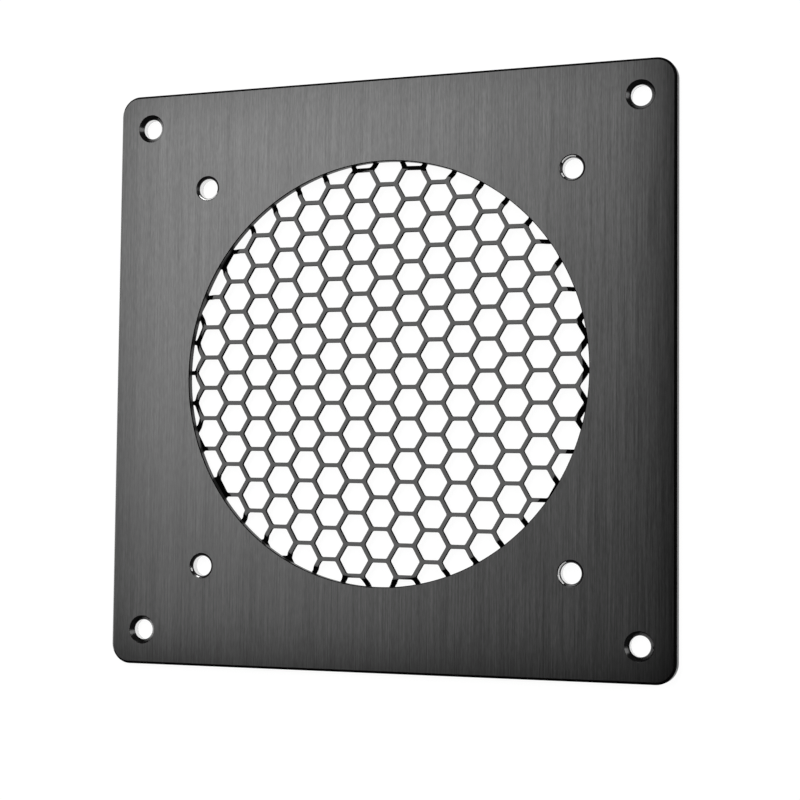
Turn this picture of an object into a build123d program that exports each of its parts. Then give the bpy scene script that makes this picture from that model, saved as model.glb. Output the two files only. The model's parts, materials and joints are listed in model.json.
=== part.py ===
"""Square fan cover: a brushed plate with a dished honeycomb guard seated in its back.

Millimetres. The back face lies on z = 0 with its centre at the origin, and +Z points out of
the front. +Y is up and +X is to the right, as seen from the front.
"""
import os
from math import atan2, ceil, cos, hypot, radians, sin, tan

from build123d import *

# Face plate
plate_size = 160.0
plate_thickness = 3.0
corner_radius = 5.5
front_chamfer = 0.65

# Round opening in the plate
opening_diameter = 114.4

# Outer holes, countersunk, which fasten the plate to a panel
panel_hole_inset = 9.5
panel_hole_diameter = 5.5
panel_hole_mouth_diameter = 7.75

# Inner holes, which carry a 120 mm fan
fan_hole_spacing = 105.0
fan_hole_diameter = 5.5
fan_hole_mouth_diameter = 7.0

# The conical mouths of both kinds of hole
mouth_angle = 90.0

# Guard sheet and its seat in the back of the plate
sheet_thickness = 1.0
flange_width = 4.0
seat_clearance = 0.15
flange_recess = 0.1

# Form of the dish
dish_height = 1.1
dish_margin = 2.0
dish_slope_run = 1.4

# Honeycomb, with flat sides up and down
cell_pitch = 8.44
rib_width = 1.1
honeycomb_turn = -0.6
honeycomb_shift_x = 0.2
honeycomb_shift_y = 0.45
open_margin = 0.9
least_cell_depth = 1.4

# Sizes that follow
panel_hole_spacing = plate_size - 2 * panel_hole_inset
opening_radius = opening_diameter / 2
flange_radius = opening_radius + flange_width
rebate_radius = flange_radius + seat_clearance
rebate_depth = flange_recess + sheet_thickness
cell_width = cell_pitch - rib_width
column_step = cell_pitch * cos(radians(30))
perforated_radius = opening_radius + open_margin
flange_back = flange_recess
flange_front = flange_back + sheet_thickness
dish_back = flange_back + dish_height
dish_front = flange_front + dish_height
dish_radius = opening_radius - dish_margin
slope_foot_radius = dish_radius + dish_slope_run

# How far the back of each fold lies inside its front, so that the wall stays even
fold_angle = atan2(dish_height, dish_slope_run)
fold_mitre = sheet_thickness * tan(fold_angle / 2)


def cell_centres():
    """Centres of the honeycomb cells that reach well into the perforated disc."""
    reach = perforated_radius + cell_width / 2 - least_cell_depth
    count = ceil(reach / column_step) + 1
    turn = radians(honeycomb_turn)
    centres = []
    for column in range(-count, count + 1):
        for row in range(-count, count + 1):
            # The middle of a rib lies near the centre of the opening
            x = column * column_step
            y = (row + 0.5 + (column % 2) / 2) * cell_pitch
            turned_x = x * cos(turn) - y * sin(turn) + honeycomb_shift_x
            turned_y = x * sin(turn) + y * cos(turn) + honeycomb_shift_y
            if hypot(turned_x, turned_y) < reach:
                centres.append((turned_x, turned_y))
    return centres


# The plate: a rounded square with a chamfered front edge
with BuildPart() as face_plate:
    with BuildSketch(Plane.XY):
        RectangleRounded(plate_size, plate_size, corner_radius)
    extrude(amount=plate_thickness)
    front_rim = face_plate.faces().sort_by(Axis.Z)[-1].outer_wire().edges()
    chamfer(front_rim, length=front_chamfer)

    # The opening, and the rebate behind it that seats the guard
    with BuildSketch(Plane.XY):
        Circle(opening_radius)
    extrude(amount=plate_thickness, mode=Mode.SUBTRACT)
    with BuildSketch(Plane.XY):
        Circle(rebate_radius)
    extrude(amount=rebate_depth, mode=Mode.SUBTRACT)

    # Countersunk panel holes at the corners
    with Locations(Plane.XY.offset(plate_thickness)):
        with GridLocations(panel_hole_spacing, panel_hole_spacing, 2, 2):
            CounterSinkHole(
                radius=panel_hole_diameter / 2,
                counter_sink_radius=panel_hole_mouth_diameter / 2,
                counter_sink_angle=mouth_angle,
            )

    # Fan holes, each with a chamfered mouth
    with Locations(Plane.XY.offset(plate_thickness)):
        with GridLocations(fan_hole_spacing, fan_hole_spacing, 2, 2):
            CounterSinkHole(
                radius=fan_hole_diameter / 2,
                counter_sink_radius=fan_hole_mouth_diameter / 2,
                counter_sink_angle=mouth_angle,
            )

# The guard: a thin disc pressed into a shallow dish, then opened by the honeycomb
with BuildPart() as honeycomb_guard:
    with BuildSketch(Plane.XZ):
        with BuildLine():
            Polyline(
                (0, dish_front),
                (dish_radius, dish_front),
                (slope_foot_radius, flange_front),
                (flange_radius, flange_front),
                (flange_radius, flange_back),
                (slope_foot_radius - fold_mitre, flange_back),
                (dish_radius - fold_mitre, dish_back),
                (0, dish_back),
                close=True,
            )
        make_face()
    revolve(axis=Axis.Z)

    with BuildSketch(Plane.XY):
        with Locations(*cell_centres()):
            RegularPolygon(cell_width / 2, 6, major_radius=False)
        Circle(perforated_radius, mode=Mode.INTERSECT)
    extrude(amount=dish_front, mode=Mode.SUBTRACT)

face_plate.part.label = "face_plate"
honeycomb_guard.part.label = "honeycomb_guard"

os.makedirs("parts", exist_ok=True)
export_step(face_plate.part, "parts/face_plate.step")
export_step(honeycomb_guard.part, "parts/honeycomb_guard.step")
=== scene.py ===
"""A square fan cover: a brushed black plate with a dished honeycomb guard behind its opening.

Metres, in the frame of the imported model: the back face lies on z = 0 and +Z points out of
the front.
"""

import json
from math import atan2, ceil, cos, degrees, hypot, pi, radians, sin, sqrt, tan

import bpy
from bpy.props import FloatProperty, FloatVectorProperty, PointerProperty
from mathutils import Matrix, Vector


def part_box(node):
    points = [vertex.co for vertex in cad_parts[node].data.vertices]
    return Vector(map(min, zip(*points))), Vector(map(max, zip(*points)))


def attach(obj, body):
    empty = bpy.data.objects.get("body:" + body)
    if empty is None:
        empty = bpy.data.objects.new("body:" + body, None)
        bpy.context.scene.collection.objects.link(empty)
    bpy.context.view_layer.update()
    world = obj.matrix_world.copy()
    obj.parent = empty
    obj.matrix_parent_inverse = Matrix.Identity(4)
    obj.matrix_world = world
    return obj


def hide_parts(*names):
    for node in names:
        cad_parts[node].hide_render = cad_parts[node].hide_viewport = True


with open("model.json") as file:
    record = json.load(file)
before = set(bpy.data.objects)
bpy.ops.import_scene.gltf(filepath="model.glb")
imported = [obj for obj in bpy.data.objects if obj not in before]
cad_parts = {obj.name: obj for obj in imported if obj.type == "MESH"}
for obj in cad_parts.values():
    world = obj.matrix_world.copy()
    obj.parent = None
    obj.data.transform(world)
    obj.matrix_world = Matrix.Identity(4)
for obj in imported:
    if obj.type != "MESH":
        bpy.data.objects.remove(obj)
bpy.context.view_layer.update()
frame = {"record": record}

bl_info = {
    "name": "Fan Cover",
    "version": (1, 0, 0),
    "blender": (4, 5, 0),
    "location": "View3D > Sidebar > Fan Cover",
    "description": "Models a square fan cover with a honeycomb guard",
    "category": "Object",
}

MM = 0.001
PLATE_LOW, PLATE_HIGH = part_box("face_plate")
GUARD_LOW, GUARD_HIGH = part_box("honeycomb_guard")
PLATE_SIZE = PLATE_HIGH[0] - PLATE_LOW[0]
PLATE_THICKNESS = PLATE_HIGH[2] - PLATE_LOW[2]
FLANGE_RADIUS = (GUARD_HIGH[0] - GUARD_LOW[0]) / 2
FLANGE_BACK = GUARD_LOW[2]
DISH_FRONT = GUARD_HIGH[2]
MOUNTS = {mount["name"]: mount["dims"] for mount in frame["record"]["mounts"]}
PANEL_HOLES = MOUNTS["panel_holes"]
FAN_HOLES = MOUNTS["fan_holes"]
PANEL_BORE = PANEL_HOLES["hole_r_mm"] * MM
FAN_BORE = FAN_HOLES["hole_r_mm"] * MM

# Sides of round cuts and corners, finer than the eye can tell from a true circle
LARGE_CIRCLE = 256
SMALL_CIRCLE = 64
CORNER_SEGMENTS = 20

# How far a tool reaches past what it cuts
OVERCUT = 1 * MM

# Room in the tests of how far a face lies from a hole's axis
SLACK = 0.1 * MM

# A face whose normal points up or down by less than WALL is upright, by less than STEEP it is
# steep, and by more than LEVEL it is one of the broad faces
WALL = 0.1
STEEP = 0.8
LEVEL = 0.98

# Grains of the finishes, as waves per metre along X, Y and Z
HAIRLINES = (3200, 40, 40)
NICKS = (3600, 500, 500)
BANDS = (420, 8, 8)
CUTTER_MARKS = (900, 900, 5200)
DRILL_RINGS = (300, 300, 6000)
COAT_GRAIN = (5200, 5200, 5200)
COAT_PATCHES = (160, 160, 160)

# Where 1 is white, a little more makes up for the lit floor that is mixed in
FLOOR_GLOW = 1.06

# Where the step in each fan hole is painted bright, a painted highlight where the lamps glint, in
# degrees from +X towards +Y
PAINTED_GLINTS_LOWER_LEFT_HOLE = ((192, 208), (243, 258))
PAINTED_GLINTS_UPPER_LEFT_HOLE = ((212, 338),)
PAINTED_GLINTS_LOWER_RIGHT_HOLE = ((112, 235),)
PAINTED_GLINTS_UPPER_RIGHT_HOLE = ((75, 150), (204, 224))
PAINTED_GLINT_ARCS = (
    PAINTED_GLINTS_LOWER_LEFT_HOLE, PAINTED_GLINTS_UPPER_LEFT_HOLE, PAINTED_GLINTS_LOWER_RIGHT_HOLE, PAINTED_GLINTS_UPPER_RIGHT_HOLE)


class PlateSettings(bpy.types.PropertyGroup):
    """Sizes and colour of the face plate."""

    corner_radius: FloatProperty(
        name="Corner Radius", description="Radius of the plate's four corners",
        default=5.5 * MM, unit="LENGTH", precision=5)
    front_chamfer: FloatProperty(
        name="Front Chamfer", description="Width of the chamfer round the front edge",
        default=0.65 * MM, unit="LENGTH", precision=5)
    opening_diameter: FloatProperty(
        name="Opening Diameter", description="Diameter of the round opening",
        default=114.4 * MM, unit="LENGTH", precision=5)
    opening_break: FloatProperty(
        name="Opening Edge", description="Width of the broken edge round the opening",
        default=0.22 * MM, unit="LENGTH", precision=5)
    seat_clearance: FloatProperty(
        name="Seat Clearance", description="Gap between the guard's flange and its rebate",
        default=0.15 * MM, unit="LENGTH", precision=5)
    rebate_depth: FloatProperty(
        name="Rebate Depth", description="Depth of the rebate that seats the guard",
        default=1.1 * MM, unit="LENGTH", precision=5)
    panel_hole_mouth: FloatProperty(
        name="Panel Hole Mouth", description="Diameter of the countersinks at the corners",
        default=7.75 * MM, unit="LENGTH", precision=5)
    fan_hole_mouth: FloatProperty(
        name="Fan Hole Mouth", description="Diameter of the chamfered mouths of the fan holes",
        default=7.0 * MM, unit="LENGTH", precision=5)
    # The step itself is cut in the metal; the bright arcs on it are painted highlights
    fan_hole_land: FloatProperty(
        name="Fan Hole Land", description="Width of the worn step in the mouths of the fan holes",
        default=0.3 * MM, unit="LENGTH", precision=5)
    edge_softness: FloatProperty(
        name="Edge Softness", description="Width of the small bevel on every sharp edge",
        default=0.05 * MM, unit="LENGTH", precision=5)
    colour: FloatVectorProperty(
        name="Plate Colour", description="Reflecting colour of the brushed face",
        subtype="COLOR", size=3, default=(0.074, 0.074, 0.074), min=0, max=1)
    # Painted shade: the brushed face is darkened in bands along its edges, where the lamps' light
    # falls off
    painted_shade_band: FloatProperty(
        name="Painted Shade Band", description="Width of the bands in which the face darkens to its edges",
        default=18 * MM, unit="LENGTH", precision=5)
    painted_edge_shades: FloatVectorProperty(
        name="Painted Edge Shades", description="How much darker it is at the right, top, left and bottom",
        size=4, default=(0.72, 0.18, 0.28, 0.45), min=0, max=1)
    edge_colour: FloatVectorProperty(
        name="Edge Colour", description="Colour of the chamfers and countersinks",
        subtype="COLOR", size=3, default=(0.003, 0.003, 0.003), min=0, max=1)
    side_colour: FloatVectorProperty(
        name="Side Colour", description="Colour of the plate's sides and the opening's wall",
        subtype="COLOR", size=3, default=(0.02, 0.02, 0.02), min=0, max=1)
    # Painted highlight: colour of the bright arcs painted on the fan holes' steps where the lamps
    # glint
    painted_glint_colour: FloatVectorProperty(
        name="Painted Glint Colour", description="Reflecting colour of the worn steps in the fan holes",
        subtype="COLOR", size=3, default=(0.8, 0.8, 0.8), min=0, max=1)
    bare_colour: FloatVectorProperty(
        name="Bare Colour", description="Reflecting colour of the metal in the bored holes",
        subtype="COLOR", size=3, default=(0.78, 0.78, 0.78), min=0, max=1)


class GuardSettings(bpy.types.PropertyGroup):
    """Sizes and colour of the honeycomb guard."""

    sheet_thickness: FloatProperty(
        name="Sheet Thickness", description="Thickness of the guard's sheet",
        default=1.0 * MM, unit="LENGTH", precision=5)
    dish_margin: FloatProperty(
        name="Dish Margin", description="Gap from the flat of the dish to the opening's wall",
        default=2.0 * MM, unit="LENGTH", precision=5)
    slope_run: FloatProperty(
        name="Slope Run", description="How far out the dish's slope reaches",
        default=1.4 * MM, unit="LENGTH", precision=5)
    outer_fold_radius: FloatProperty(
        name="Fold Radius", description="Radius of the fold at the rim of the dish",
        default=1.2 * MM, unit="LENGTH", precision=5)
    inner_fold_radius: FloatProperty(
        name="Foot Radius", description="Radius of the fold at the foot of the slope",
        default=0.2 * MM, unit="LENGTH", precision=5)
    cell_pitch: FloatProperty(
        name="Cell Pitch", description="Distance between the centres of two cells",
        default=8.44 * MM, unit="LENGTH", precision=5)
    rib_width: FloatProperty(
        name="Rib Width", description="Width of the ribs between cells",
        default=1.1 * MM, unit="LENGTH", precision=5)
    cell_corner_radius: FloatProperty(
        name="Cell Corner Radius", description="Radius of the corners of each cell",
        default=0.55 * MM, unit="LENGTH", precision=5)
    turn: FloatProperty(
        name="Turn", description="How far the honeycomb is turned in the plate",
        default=radians(-0.6), unit="ROTATION")
    shift_x: FloatProperty(
        name="Shift Right", description="How far the honeycomb is off the centre",
        default=0.2 * MM, unit="LENGTH", precision=5)
    shift_y: FloatProperty(
        name="Shift Up", description="How far the honeycomb is off the centre",
        default=0.45 * MM, unit="LENGTH", precision=5)
    open_margin: FloatProperty(
        name="Open Margin", description="How far the cells reach behind the opening's rim",
        default=0.9 * MM, unit="LENGTH", precision=5)
    least_cell_depth: FloatProperty(
        name="Least Cell Depth", description="A cell that reaches in by less is left out",
        default=1.4 * MM, unit="LENGTH", precision=5)
    rib_softness: FloatProperty(
        name="Rib Softness", description="Width of the rounding along the ribs",
        default=0.05 * MM, unit="LENGTH", precision=5)
    colour: FloatVectorProperty(
        name="Rib Colour", description="Colour of the coating on the faces of the ribs",
        subtype="COLOR", size=3, default=(0.109, 0.109, 0.109), min=0, max=1)
    # Painted shade: a near-black copy of the rib coating for the cell walls, the slope and the
    # flange, where shade falls
    painted_shade_colour: FloatVectorProperty(
        name="Painted Shade Colour", description="Colour of the coating in the cells and on the slope",
        subtype="COLOR", size=3, default=(0.002, 0.002, 0.002), min=0, max=1)


class StageSettings(bpy.types.PropertyGroup):
    """Floor and light."""

    floor_size: FloatProperty(
        name="Floor Size", description="Length of the floor's sides",
        default=6.0, unit="LENGTH")
    floor_colour: FloatVectorProperty(
        name="Floor Colour", description="Colour of the floor",
        subtype="COLOR", size=3, default=(0.9, 0.9, 0.9), min=0, max=1)
    floor_lift: FloatProperty(
        name="Floor Lift", description="How far the floor that the camera sees turns plain white",
        default=0.9, min=0, max=1)
    key_power: FloatProperty(
        name="Key Power", description="Power of the large softbox",
        default=14.1, min=0)
    side_power: FloatProperty(
        name="Side Power", description="Power of the low softbox at the right",
        default=8.0, min=0)
    world_level: FloatProperty(
        name="Surround", description="Brightness of the surrounding room",
        default=0.07, min=0, max=1)


# Small modelling steps

def clear_selection():
    """Leave edit mode and select nothing."""
    if bpy.context.object and bpy.context.object.mode != "OBJECT":
        bpy.ops.object.mode_set(mode="OBJECT")
    bpy.ops.object.select_all(action="DESELECT")


def work_on(piece):
    """Make one object the only selected and active one."""
    clear_selection()
    piece.select_set(True)
    bpy.context.view_layer.objects.active = piece


def pick_edges(piece, wanted):
    """Enter edit mode with the edges selected whose two ends pass the test."""
    work_on(piece)
    mesh = piece.data
    bpy.context.tool_settings.mesh_select_mode = (False, True, False)
    clear_flags(mesh)
    for edge in mesh.edges:
        start, end = (mesh.vertices[i].co for i in edge.vertices)
        edge.select = wanted(start, end)
    bpy.ops.object.mode_set(mode="EDIT")


def pick_faces(piece, wanted):
    """Enter edit mode with the faces selected that pass the test."""
    work_on(piece)
    mesh = piece.data
    bpy.context.tool_settings.mesh_select_mode = (False, False, True)
    clear_flags(mesh)
    for face in mesh.polygons:
        face.select = wanted(face)
    bpy.ops.object.mode_set(mode="EDIT")


def clear_flags(mesh):
    """Deselect every vertex, edge and face."""
    for items in (mesh.vertices, mesh.edges, mesh.polygons):
        items.foreach_set("select", [False] * len(items))


def near(a, b, slack=0.02 * MM):
    """Whether two lengths are the same but for rounding."""
    return abs(a - b) < slack


def face_outwards(piece):
    """Merge doubles and turn every face outwards."""
    work_on(piece)
    bpy.ops.object.mode_set(mode="EDIT")
    bpy.ops.mesh.select_all(action="SELECT")
    bpy.ops.mesh.remove_doubles(threshold=1e-6)
    bpy.ops.mesh.normals_make_consistent(inside=False)
    bpy.ops.object.mode_set(mode="OBJECT")


def settle(piece):
    """Move the object's own place, turn and scale into its mesh."""
    work_on(piece)
    bpy.ops.object.transform_apply(location=True, rotation=True, scale=True)


def turned_solid(name, profile, sides):
    """A solid of round steps: each step of the profile is a (height, radius)."""
    clear_selection()
    height, radius = profile[0]
    bpy.ops.mesh.primitive_circle_add(
        vertices=sides, radius=radius, fill_type="NGON", location=(0, 0, height))
    solid = bpy.context.object
    solid.name = name
    settle(solid)
    bpy.ops.object.mode_set(mode="EDIT")
    bpy.ops.mesh.select_all(action="SELECT")
    for next_height, next_radius in profile[1:]:
        bpy.ops.mesh.extrude_region_move(
            TRANSFORM_OT_translate={"value": (0, 0, next_height - height)})
        growth = next_radius / radius
        if growth != 1:
            bpy.ops.transform.resize(
                value=(growth, growth, 1), center_override=(0, 0, next_height))
        height, radius = next_height, next_radius
    face_outwards(solid)
    return solid


def copies(piece, places):
    """One object of copies of a piece, each with its own mesh, at the places given."""
    made = []
    for place in places:
        copy = piece.copy()
        copy.data = piece.data.copy()
        copy.location = place
        bpy.context.collection.objects.link(copy)
        made.append(copy)
    bpy.data.objects.remove(piece)
    work_on(made[0])
    for copy in made:
        copy.select_set(True)
    bpy.ops.object.join()
    joined = bpy.context.object
    settle(joined)
    return joined


def cut(piece, tool, operation="DIFFERENCE"):
    """Cut a piece with a tool, or keep what they share, and delete the tool."""
    work_on(piece)
    step = piece.modifiers.new("Cut", "BOOLEAN")
    step.solver = "EXACT"
    step.operation = operation
    step.object = tool
    bpy.ops.object.modifier_apply(modifier=step.name)
    bpy.data.objects.remove(tool)


def smooth(piece, angle):
    """Smooth shading across shallow angles, with broad faces kept flat."""
    work_on(piece)
    bpy.ops.object.shade_smooth_by_angle(angle=angle)
    step = piece.modifiers.new("Flat Faces", "WEIGHTED_NORMAL")
    step.keep_sharp = True
    bpy.ops.object.modifier_apply(modifier=step.name)


def paint(piece, main_finish, others):
    """Give a piece its main finish, then each other one to the faces that pass its test."""
    finishes = piece.data.materials
    finishes.clear()
    finishes.append(main_finish)
    for finish, wanted in others:
        finishes.append(finish)
        pick_faces(piece, wanted)
        piece.active_material_index = len(finishes) - 1
        bpy.ops.object.material_slot_assign()
        bpy.ops.object.mode_set(mode="OBJECT")


def is_wall(face):
    """Whether a face is upright."""
    return abs(face.normal.z) < WALL


def is_slope(face):
    """Whether a face is neither upright nor one of the broad ones."""
    return WALL <= abs(face.normal.z) < LEVEL


def axis_distance(point, places):
    """How far a point is from the nearest of some upright axes."""
    return min(hypot(point.x - x, point.y - y) for x, y, _ in places)


def compass(point, place):
    """Direction in degrees, from 0 to 360, in which a point lies from an upright axis."""
    return degrees(atan2(point.y - place[1], point.x - place[0])) % 360


def square_of(pattern):
    """The four corners of a hole pattern."""
    half_x = pattern["spacing_x_mm"] / 2 * MM
    half_y = pattern["spacing_y_mm"] / 2 * MM
    return [(x, y, 0) for x in (-half_x, half_x) for y in (-half_y, half_y)]


# Finishes

def new_finish(name):
    """A material with its node tree, its links and its main shader."""
    finish = bpy.data.materials.new(name)
    finish.use_nodes = True
    tree = finish.node_tree
    return finish, tree, tree.nodes["Principled BSDF"]


def own_place(tree):
    """The point on the object, in its own coordinates."""
    return tree.nodes.new("ShaderNodeTexCoord").outputs["Object"]


def streaks(tree, scale, detail=2.0, roughness=0.5):
    """Noise on the object's own coordinates, drawn out by unequal scales."""
    stretch = tree.nodes.new("ShaderNodeMapping")
    stretch.inputs["Scale"].default_value = scale
    noise = tree.nodes.new("ShaderNodeTexNoise")
    noise.inputs["Scale"].default_value = 1.0
    noise.inputs["Detail"].default_value = detail
    noise.inputs["Roughness"].default_value = roughness
    tree.links.new(own_place(tree), stretch.inputs["Vector"])
    tree.links.new(stretch.outputs["Vector"], noise.inputs["Vector"])
    return noise.outputs["Fac"]


def spread(tree, value, low, high, start=0.3, end=0.7):
    """A value between start and end, drawn out to run from low to high."""
    node = tree.nodes.new("ShaderNodeMapRange")
    node.inputs["From Min"].default_value = start
    node.inputs["From Max"].default_value = end
    node.inputs["To Min"].default_value = low
    node.inputs["To Max"].default_value = high
    tree.links.new(value, node.inputs["Value"])
    return node.outputs["Result"]


def worked(tree, operation, *values):
    """The result of one step of arithmetic on values and plain numbers."""
    node = tree.nodes.new("ShaderNodeMath")
    node.operation = operation
    for value, socket in zip(values, node.inputs):
        if isinstance(value, float):
            socket.default_value = value
        else:
            tree.links.new(value, socket)
    return node.outputs["Value"]


def tinted(tree, colour, strength):
    """A colour scaled by a value that varies over the surface."""
    node = tree.nodes.new("ShaderNodeVectorMath")
    node.operation = "SCALE"
    node.inputs[0].default_value = colour
    tree.links.new(strength, node.inputs["Scale"])
    return node.outputs["Vector"]


def bumped(tree, shader, height, depth, strength):
    """Bump from a height, in metres of depth."""
    node = tree.nodes.new("ShaderNodeBump")
    node.inputs["Strength"].default_value = strength
    node.inputs["Distance"].default_value = depth
    tree.links.new(height, node.inputs["Height"])
    tree.links.new(node.outputs["Normal"], shader.inputs["Normal"])


def painted_edge_shade(tree, tone, band, shades):
    """Painted shade: a tone that falls in a round curve to the plate's right, top, left and bottom
    edges, standing in for the lamps' light falling off there.
    """
    axes = tree.nodes.new("ShaderNodeSeparateXYZ")
    tree.links.new(own_place(tree), axes.inputs["Vector"])
    edge = PLATE_SIZE / 2
    sides = (("X", 1), ("Y", 1), ("X", -1), ("Y", -1))
    for (axis, way), shade in zip(sides, shades):
        ramp = spread(
            tree, axes.outputs[axis], low=0, high=1, start=way * (edge - band), end=way * edge)
        curve = worked(tree, "MULTIPLY", ramp, ramp)
        fall = spread(tree, curve, low=1, high=1 - shade, start=0, end=1)
        tone = worked(tree, "MULTIPLY", tone, fall)
    return tone


def brushed_finish(colour, band, shades):
    """Black anodised metal with fine straight brushing up and down the face, darkened towards its
    edges by painted shade.
    """
    finish, tree, shader = new_finish("brushed_black_aluminium")
    hairlines = streaks(tree, HAIRLINES, detail=3.0, roughness=0.6)
    tone = spread(tree, hairlines, low=0.76, high=1.24)
    bands = spread(tree, streaks(tree, BANDS), low=0.94, high=1.06)
    tone = worked(tree, "MULTIPLY", tone, bands)
    nicks = spread(tree, streaks(tree, NICKS), low=0.88, high=1.12)
    tone = worked(tree, "MULTIPLY", tone, nicks)
    # Painted shade along the plate's edges
    tone = painted_edge_shade(tree, tone, band, shades)
    tree.links.new(tinted(tree, colour, tone), shader.inputs["Base Color"])
    tree.links.new(spread(tree, hairlines, low=0.31, high=0.38), shader.inputs["Roughness"])
    shader.inputs["Metallic"].default_value = 1.0
    bumped(tree, shader, hairlines, depth=0.004 * MM, strength=0.35)
    return finish


def smooth_black(name, colour, gloss, roughness):
    """Smooth anodising, with fine marks of the cutter running round."""
    finish, tree, shader = new_finish(name)
    marks = streaks(tree, CUTTER_MARKS)
    tone = spread(tree, marks, low=0.8, high=1.2)
    tree.links.new(tinted(tree, colour, tone), shader.inputs["Base Color"])
    uneven = spread(tree, marks, low=roughness - 0.04, high=roughness + 0.04)
    tree.links.new(uneven, shader.inputs["Roughness"])
    shader.inputs["Specular IOR Level"].default_value = gloss
    bumped(tree, shader, marks, depth=0.002 * MM, strength=0.3)
    return finish


def cut_metal(name, colour, metallic):
    """Bare metal with the rings that a drill leaves."""
    finish, tree, shader = new_finish(name)
    rings = streaks(tree, DRILL_RINGS)
    tone = spread(tree, rings, low=0.88, high=1.05)
    tree.links.new(tinted(tree, colour, tone), shader.inputs["Base Color"])
    tree.links.new(spread(tree, rings, low=0.2, high=0.3), shader.inputs["Roughness"])
    shader.inputs["Metallic"].default_value = metallic
    bumped(tree, shader, rings, depth=0.004 * MM, strength=0.4)
    return finish


def coated_finish(name, colour, gloss):
    """Matte coating with a fine grain."""
    finish, tree, shader = new_finish(name)
    grain = streaks(tree, COAT_GRAIN)
    tone = spread(tree, grain, low=0.88, high=1.12)
    patches = spread(tree, streaks(tree, COAT_PATCHES), low=0.95, high=1.05)
    tone = worked(tree, "MULTIPLY", tone, patches)
    tree.links.new(tinted(tree, colour, tone), shader.inputs["Base Color"])
    tree.links.new(spread(tree, grain, low=0.5, high=0.6), shader.inputs["Roughness"])
    shader.inputs["Specular IOR Level"].default_value = gloss
    bumped(tree, shader, grain, depth=0.006 * MM, strength=0.4)
    return finish


def floor_finish(colour, lift):
    """Pale floor that the camera and mirrors see as nearly plain white, under a faint shadow."""
    finish, tree, shader = new_finish("pale_floor")
    shader.inputs["Base Color"].default_value = (*colour, 1)
    shader.inputs["Roughness"].default_value = 0.9
    shader.inputs["Specular IOR Level"].default_value = 0.0
    path = tree.nodes.new("ShaderNodeLightPath")
    seen = path.outputs["Is Camera Ray"]
    for kind in ("Is Glossy Ray", "Is Transmission Ray"):
        seen = worked(tree, "MAXIMUM", seen, path.outputs[kind])
    white = tree.nodes.new("ShaderNodeEmission")
    white.inputs["Strength"].default_value = FLOOR_GLOW
    mix = tree.nodes.new("ShaderNodeMixShader")
    tree.links.new(worked(tree, "MULTIPLY", seen, lift), mix.inputs["Fac"])
    tree.links.new(shader.outputs["BSDF"], mix.inputs[1])
    tree.links.new(white.outputs["Emission"], mix.inputs[2])
    tree.links.new(mix.outputs["Shader"], tree.nodes["Material Output"].inputs["Surface"])
    return finish


# Pieces

# Slope of the outer part of a fan hole's mouth, measured from the plate's front
SHOULDER_ANGLE = radians(41)


def countersink_tool(bore, mouth):
    """A drill whose shoulder opens at 45 degrees to the mouth."""
    shoulder = PLATE_THICKNESS - (mouth - bore)
    profile = [
        (-OVERCUT, bore),
        (shoulder, bore),
        (PLATE_THICKNESS + OVERCUT, mouth + OVERCUT),
    ]
    return turned_solid("countersink_tool", profile, SMALL_CIRCLE)


def stepped_tool(bore, mouth, land):
    """A drill with a shoulder, a narrow step inside it and a steep neck down to the bore."""
    neck = PLATE_THICKNESS - (mouth - bore)
    inner = (bore + mouth - land) / 2
    outer = inner + land
    slope = tan(SHOULDER_ANGLE)
    step = PLATE_THICKNESS - (mouth - outer) * slope
    # The step falls towards the bore by a quarter of its width
    profile = [
        (-OVERCUT, bore),
        (neck, bore),
        (step - land / 4, inner),
        (step, outer),
        (PLATE_THICKNESS + OVERCUT, mouth + OVERCUT / slope),
    ]
    return turned_solid("stepped_tool", profile, SMALL_CIRCLE)


def plate_blank(sizes):
    """A rounded square of plate with a chamfered front edge."""
    clear_selection()
    bpy.ops.mesh.primitive_plane_add(size=PLATE_SIZE, location=(0, 0, 0))
    plate = bpy.context.object
    plate.name = "brushed_face_plate"
    bpy.ops.object.mode_set(mode="EDIT")
    bpy.ops.mesh.select_all(action="SELECT")
    bpy.ops.mesh.bevel(
        offset=sizes.corner_radius, segments=CORNER_SEGMENTS, affect="VERTICES")
    bpy.ops.mesh.select_all(action="SELECT")
    side = PLATE_THICKNESS - sizes.front_chamfer
    bpy.ops.mesh.extrude_region_move(TRANSFORM_OT_translate={"value": (0, 0, side)})
    face_outwards(plate)
    pick_faces(plate, lambda face: face.normal.z > LEVEL)
    bpy.ops.mesh.inset(thickness=sizes.front_chamfer, depth=sizes.front_chamfer)
    bpy.ops.object.mode_set(mode="OBJECT")
    return plate


def cut_opening(plate, sizes):
    """Cut the opening and the rebate behind it, and break the opening's front edge."""
    opening = sizes.opening_diameter / 2
    through = [(-OVERCUT, opening), (PLATE_THICKNESS + OVERCUT, opening)]
    cut(plate, turned_solid("opening_tool", through, LARGE_CIRCLE))
    rebate = FLANGE_RADIUS + sizes.seat_clearance
    seat = [(-OVERCUT, rebate), (sizes.rebate_depth, rebate)]
    cut(plate, turned_solid("rebate_tool", seat, LARGE_CIRCLE))
    pick_edges(plate, lambda a, b: all(
        near(end.z, PLATE_THICKNESS) and near(hypot(end.x, end.y), opening) for end in (a, b)))
    bpy.ops.mesh.bevel(offset=sizes.opening_break, segments=2, affect="EDGES")


def drill_holes(plate, sizes):
    """Drill the countersunk panel holes and the stepped fan holes."""
    panel_drill = countersink_tool(PANEL_BORE, sizes.panel_hole_mouth / 2)
    cut(plate, copies(panel_drill, square_of(PANEL_HOLES)))
    fan_drill = stepped_tool(FAN_BORE, sizes.fan_hole_mouth / 2, sizes.fan_hole_land)
    cut(plate, copies(fan_drill, square_of(FAN_HOLES)))


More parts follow.
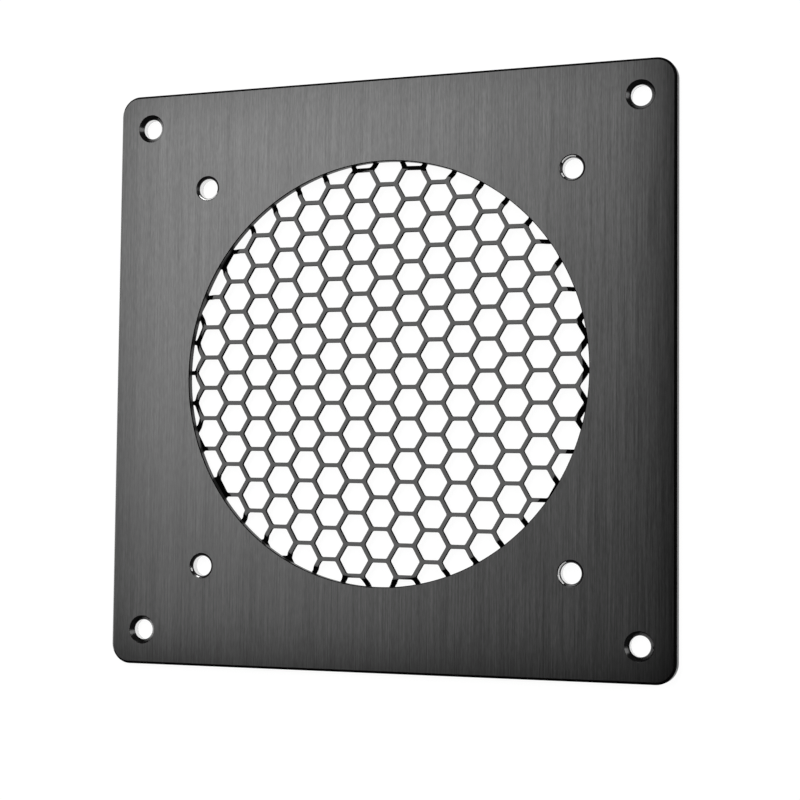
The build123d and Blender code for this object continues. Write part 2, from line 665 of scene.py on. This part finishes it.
def soften_edges(plate, width):
    """Put a small bevel on every sharp edge."""
    work_on(plate)
    soften = plate.modifiers.new("Soft Edges", "BEVEL")
    soften.width = width
    soften.segments = 2
    soften.limit_method = "ANGLE"
    soften.angle_limit = radians(25)
    soften.use_clamp_overlap = False
    bpy.ops.object.modifier_apply(modifier=soften.name)


def paint_plate(plate, sizes):
    """Brush the broad faces, blacken what is cut into them and leave the bores bare. The slopes
    other than the left chamfer and the countersinks get no gloss, as painted shade, and arcs of
    the fan holes' steps are painted bright, as painted highlights.
    """
    fan_places = square_of(FAN_HOLES)
    places = square_of(PANEL_HOLES) + fan_places
    panel_mouth = sizes.panel_hole_mouth / 2
    fan_mouth = sizes.fan_hole_mouth / 2
    bore = max(PANEL_BORE, FAN_BORE)

    def in_bore(face):
        return is_wall(face) and axis_distance(face.center, places) < bore + SLACK

    def in_left_chamfer(face):
        at_left = face.center.x < -PLATE_SIZE / 2 + sizes.front_chamfer
        return at_left and is_slope(face) and face.normal.x < 0

    def in_mouth(face, mouth):
        return is_slope(face) and face.normal.z > 0 and axis_distance(face.center, places) < mouth

    # Painted highlight: the faces of a fan hole's step that lie in that hole's glint arcs
    def on_painted_glint(face):
        if face.normal.z < STEEP or not in_mouth(face, fan_mouth - SLACK):
            return False
        for place, arcs in zip(fan_places, PAINTED_GLINT_ARCS):
            if axis_distance(face.center, [place]) < fan_mouth:
                return any(start < compass(face.center, place) < end for start, end in arcs)
        return False

    dull = smooth_black("dull_black_walls", sizes.side_colour, gloss=0.2, roughness=0.34)
    # Painted shade: the chamfers, broken edges and fan-hole mouths, apart from the left chamfer
    # and the countersinks, get no gloss, so they stay black where a glossy chamfer would reflect
    # the lamps and the floor
    painted_shade = smooth_black("painted_shade_chamfers", sizes.edge_colour, gloss=0.0, roughness=0.34)
    satin = smooth_black("satin_black_mouths", sizes.edge_colour, gloss=0.45, roughness=0.2)
    paint(plate, brushed_finish(sizes.colour, sizes.painted_shade_band, sizes.painted_edge_shades), (
        (dull, is_wall),
        (painted_shade, is_slope),
        (satin, lambda face: in_left_chamfer(face) or in_mouth(face, panel_mouth)),
        (cut_metal("painted_glint_steps", sizes.painted_glint_colour, metallic=0.2), on_painted_glint),
        (cut_metal("bare_bores", sizes.bare_colour, metallic=1.0), in_bore),
    ))


def model_plate(sizes):
    """The plate: a rounded square, chamfered, bored and countersunk."""
    plate = plate_blank(sizes)
    cut_opening(plate, sizes)
    drill_holes(plate, sizes)
    soften_edges(plate, sizes.edge_softness)
    paint_plate(plate, sizes)
    smooth(plate, angle=radians(40))
    clear_selection()
    return plate


def fold(before, corner, after, radius, steps):
    """Points of an arc of that radius in the corner of a profile of (radius, height) points."""
    before, corner, after = Vector(before), Vector(corner), Vector(after)
    inward = (before - corner).normalized()
    onward = (after - corner).normalized()
    opening = inward.angle(onward)
    reach = radius / tan(opening / 2)
    centre = corner + (inward + onward).normalized() * (radius / sin(opening / 2))
    first = corner + inward * reach - centre
    turn = (pi - opening) * (-1 if inward.cross(onward) > 0 else 1)
    return [centre + Matrix.Rotation(turn * i / steps, 2) @ first for i in range(steps + 1)]


def model_dish(sizes, dish_radius):
    """The pressed sheet before it is pierced: a flat dish, a slope and a flange."""
    flange_front = FLANGE_BACK + sizes.sheet_thickness
    foot_radius = dish_radius + sizes.slope_run
    centre = (0, DISH_FRONT)
    rim = (dish_radius, DISH_FRONT)
    foot = (foot_radius, flange_front)
    end = (FLANGE_RADIUS, flange_front)
    profile = fold(centre, rim, foot, sizes.outer_fold_radius, steps=5)
    profile += fold(rim, foot, end, sizes.inner_fold_radius, steps=3)
    profile.append(Vector(end))

    clear_selection()
    radius, height = profile[0]
    bpy.ops.mesh.primitive_circle_add(
        vertices=LARGE_CIRCLE, radius=radius, fill_type="NGON", location=(0, 0, height))
    dish = bpy.context.object
    dish.name = "honeycomb_dish"
    settle(dish)
    pick_edges(dish, lambda a, b: True)
    for next_radius, next_height in profile[1:]:
        bpy.ops.mesh.extrude_edges_move(
            TRANSFORM_OT_translate={"value": (0, 0, next_height - height)})
        growth = next_radius / radius
        bpy.ops.transform.resize(
            value=(growth, growth, 1), center_override=(0, 0, next_height))
        radius, height = next_radius, next_height
    bpy.ops.object.mode_set(mode="OBJECT")
    sheet = dish.modifiers.new("Sheet", "SOLIDIFY")
    sheet.thickness = sizes.sheet_thickness
    sheet.offset = -1
    sheet.use_even_offset = True
    bpy.ops.object.modifier_apply(modifier=sheet.name)
    face_outwards(dish)
    return dish


def cell_places(sizes, reach):
    """Centres of the cells that reach into the pierced disc."""
    step = sizes.cell_pitch * cos(radians(30))
    count = ceil(reach / step) + 1
    places = []
    for column in range(-count, count + 1):
        for row in range(-count, count + 1):
            # The middle of a rib lies near the centre of the opening
            x = column * step
            y = (row + 0.5 + (column % 2) / 2) * sizes.cell_pitch
            turned_x = x * cos(sizes.turn) - y * sin(sizes.turn) + sizes.shift_x
            turned_y = x * sin(sizes.turn) + y * cos(sizes.turn) + sizes.shift_y
            if hypot(turned_x, turned_y) < reach:
                places.append((turned_x, turned_y, 0))
    return places


def cell_tool(sizes, across):
    """A six-sided punch with rounded corners and flat sides up and down."""
    clear_selection()
    depth = DISH_FRONT + 2 * OVERCUT
    bpy.ops.mesh.primitive_cylinder_add(
        vertices=6, radius=across / sqrt(3), depth=depth,
        location=(0, 0, DISH_FRONT / 2), rotation=(0, 0, radians(30) + sizes.turn))
    tool = bpy.context.object
    tool.name = "cell_tool"
    settle(tool)
    pick_edges(tool, lambda a, b: not near(a.z, b.z))
    bpy.ops.mesh.bevel(
        offset=sizes.cell_corner_radius * tan(radians(30)), segments=2, affect="EDGES")
    bpy.ops.object.mode_set(mode="OBJECT")
    return tool


def pierce(dish, sizes, pierced_radius):
    """Punch the honeycomb out of the dish, as far as the rim of the pierced disc."""
    across = sizes.cell_pitch - sizes.rib_width
    places = cell_places(sizes, pierced_radius + across / 2 - sizes.least_cell_depth)
    cells = copies(cell_tool(sizes, across), places)
    ends = [(-OVERCUT / 2, pierced_radius), (DISH_FRONT + OVERCUT / 2, pierced_radius)]
    cut(cells, turned_solid("pierced_disc", ends, LARGE_CIRCLE), "INTERSECT")
    cut(dish, cells)


def soften_ribs(guard, flat_radius, width):
    """Soften the rims of the cells on the flat of the dish, on both sides."""
    work_on(guard)
    bpy.context.tool_settings.mesh_select_mode = (False, True, False)
    bpy.ops.object.mode_set(mode="EDIT")
    bpy.ops.mesh.select_all(action="DESELECT")
    bpy.ops.mesh.edges_select_sharp(sharpness=radians(60))
    bpy.ops.object.mode_set(mode="OBJECT")
    mesh = guard.data
    sharp = {edge.index for edge in mesh.edges if edge.select}
    clear_flags(mesh)
    for index in sharp:
        edge = mesh.edges[index]
        start, end = (mesh.vertices[i].co for i in edge.vertices)
        inside = max(hypot(start.x, start.y), hypot(end.x, end.y)) < flat_radius
        edge.select = inside and near(start.z, end.z)
    bpy.ops.object.mode_set(mode="EDIT")
    bpy.ops.mesh.bevel(offset=width, segments=1, affect="EDGES", clamp_overlap=False)
    bpy.ops.object.mode_set(mode="OBJECT")


def paint_guard(guard, sizes, dish_radius):
    """Coat the guard: the faces of the ribs on the flat of the dish keep the coating's colour, and
    the cell walls, the slope and the flange get a near-black copy of it as painted shade.
    """
    # Painted shade: the cell walls and everything beyond the flat of the dish are painted
    # near-black
    def in_painted_shade(face):
        beyond_flat = hypot(face.center.x, face.center.y) > dish_radius
        return abs(face.normal.z) < STEEP or beyond_flat

    painted_shade = coated_finish("painted_shade_coating", sizes.painted_shade_colour, gloss=0.0)
    paint(guard, coated_finish("matte_rib_coating", sizes.colour, gloss=0.3), (
        (painted_shade, in_painted_shade),
    ))


def model_guard(sizes, opening_diameter):
    """The guard: a pressed dish, pierced by the honeycomb, with softened ribs."""
    opening = opening_diameter / 2
    dish_radius = opening - sizes.dish_margin
    guard = model_dish(sizes, dish_radius)
    pierce(guard, sizes, opening + sizes.open_margin)
    soften_ribs(guard, dish_radius - sizes.sheet_thickness, sizes.rib_softness)
    paint_guard(guard, sizes, dish_radius)
    smooth(guard, angle=radians(35))
    clear_selection()
    return guard


# Stage

# The camera looks at a point just off the centre of the plate's front
LENS = 83.2
CAMERA_PLACE = Vector((176.7 * MM, -38.4 * MM, PLATE_THICKNESS + 460.8 * MM))
CAMERA_TARGET = Vector((5.5 * MM, -7.4 * MM, PLATE_THICKNESS))
CAMERA_ROLL = radians(-0.6)

# Towards the top of the picture
UP = Vector((0, 1, 0))

# The lamps shine on the centre of the plate's back, and each size is a width and a height
LAMP_TARGET = (0, 0, 0)
KEY_PLACE = (-0.385, 0.649, 1.0)
KEY_SIZE = (0.53, 1.8)
KEY_ROLL = 0.32
SIDE_PLACE = (0.93, 0.25, 0.28)
SIDE_SIZE = (1.4, 0.46)


def aimed(place, target, roll):
    """The placing of a camera or lamp that looks from a place at a target."""
    forward = (Vector(target) - Vector(place)).normalized()
    side = forward.cross(UP).normalized()
    top = side.cross(forward)
    turned = Matrix((side, top, -forward)).transposed().to_4x4()
    return Matrix.Translation(place) @ turned @ Matrix.Rotation(-roll, 4, "Z")


def softbox(name, place, size, power, roll=0.0):
    """A soft rectangular lamp."""
    clear_selection()
    bpy.ops.object.light_add(type="AREA")
    lamp = bpy.context.object
    lamp.name = name
    lamp.data.shape = "RECTANGLE"
    lamp.data.size, lamp.data.size_y = size
    lamp.data.energy = power
    lamp.matrix_world = aimed(place, LAMP_TARGET, roll)


def set_stage(sizes):
    """Floor, softboxes, surround and camera."""
    clear_selection()
    bpy.ops.mesh.primitive_plane_add(size=sizes.floor_size, location=(0, 0, 0))
    floor = bpy.context.object
    floor.name = "pale_floor"
    floor.data.materials.append(floor_finish(sizes.floor_colour, sizes.floor_lift))

    softbox("key_softbox", KEY_PLACE, KEY_SIZE, sizes.key_power, KEY_ROLL)
    softbox("side_softbox", SIDE_PLACE, SIDE_SIZE, sizes.side_power)

    world = bpy.data.worlds.new("Studio Surround")
    bpy.context.scene.world = world
    world.use_nodes = True
    surround = world.node_tree.nodes["Background"]
    surround.inputs["Color"].default_value = (1, 1, 1, 1)
    surround.inputs["Strength"].default_value = sizes.world_level

    clear_selection()
    bpy.ops.object.camera_add()
    camera = bpy.context.object
    camera.name = "Camera"
    camera.data.lens = LENS
    camera.data.clip_start = 0.01
    camera.matrix_world = aimed(CAMERA_PLACE, CAMERA_TARGET, CAMERA_ROLL)
    bpy.context.scene.camera = camera
    bpy.context.scene.view_settings.view_transform = "Standard"


# Operators, panel and registration

class FANCOVER_OT_plate(bpy.types.Operator):
    """Model the brushed face plate"""

    bl_idname = "fancover.plate"
    bl_label = "Face Plate"

    def execute(self, context):
        plate = model_plate(context.scene.fan_cover_plate)
        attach(plate, "root")
        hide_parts("face_plate")
        return {"FINISHED"}


class FANCOVER_OT_guard(bpy.types.Operator):
    """Model the honeycomb guard"""

    bl_idname = "fancover.guard"
    bl_label = "Honeycomb Guard"

    def execute(self, context):
        scene = context.scene
        guard = model_guard(scene.fan_cover_guard, scene.fan_cover_plate.opening_diameter)
        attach(guard, "root")
        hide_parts("honeycomb_guard")
        return {"FINISHED"}


class FANCOVER_OT_stage(bpy.types.Operator):
    """Set the floor, the lamps and the camera"""

    bl_idname = "fancover.stage"
    bl_label = "Stage"

    def execute(self, context):
        set_stage(context.scene.fan_cover_stage)
        return {"FINISHED"}


class FANCOVER_PT_panel(bpy.types.Panel):
    """Lists the pieces and their sizes"""

    bl_label = "Fan Cover"
    bl_idname = "FANCOVER_PT_panel"
    bl_space_type = "VIEW_3D"
    bl_region_type = "UI"
    bl_category = "Fan Cover"

    def draw(self, context):
        for name, _, operator in SECTIONS:
            settings = getattr(context.scene, name)
            box = self.layout.box()
            for prop in settings.__annotations__:
                box.prop(settings, prop)
            box.operator(operator.bl_idname)


SECTIONS = (
    ("fan_cover_plate", PlateSettings, FANCOVER_OT_plate),
    ("fan_cover_guard", GuardSettings, FANCOVER_OT_guard),
    ("fan_cover_stage", StageSettings, FANCOVER_OT_stage),
)


def register():
    for name, settings, operator in SECTIONS:
        bpy.utils.register_class(settings)
        setattr(bpy.types.Scene, name, PointerProperty(type=settings))
        bpy.utils.register_class(operator)
    bpy.utils.register_class(FANCOVER_PT_panel)


def unregister():
    bpy.utils.unregister_class(FANCOVER_PT_panel)
    for name, settings, operator in reversed(SECTIONS):
        bpy.utils.unregister_class(operator)
        delattr(bpy.types.Scene, name)
        bpy.utils.unregister_class(settings)


def main():
    register()
    bpy.ops.fancover.plate()
    bpy.ops.fancover.guard()
    bpy.ops.fancover.stage()


if __name__ == "__main__":
    main()
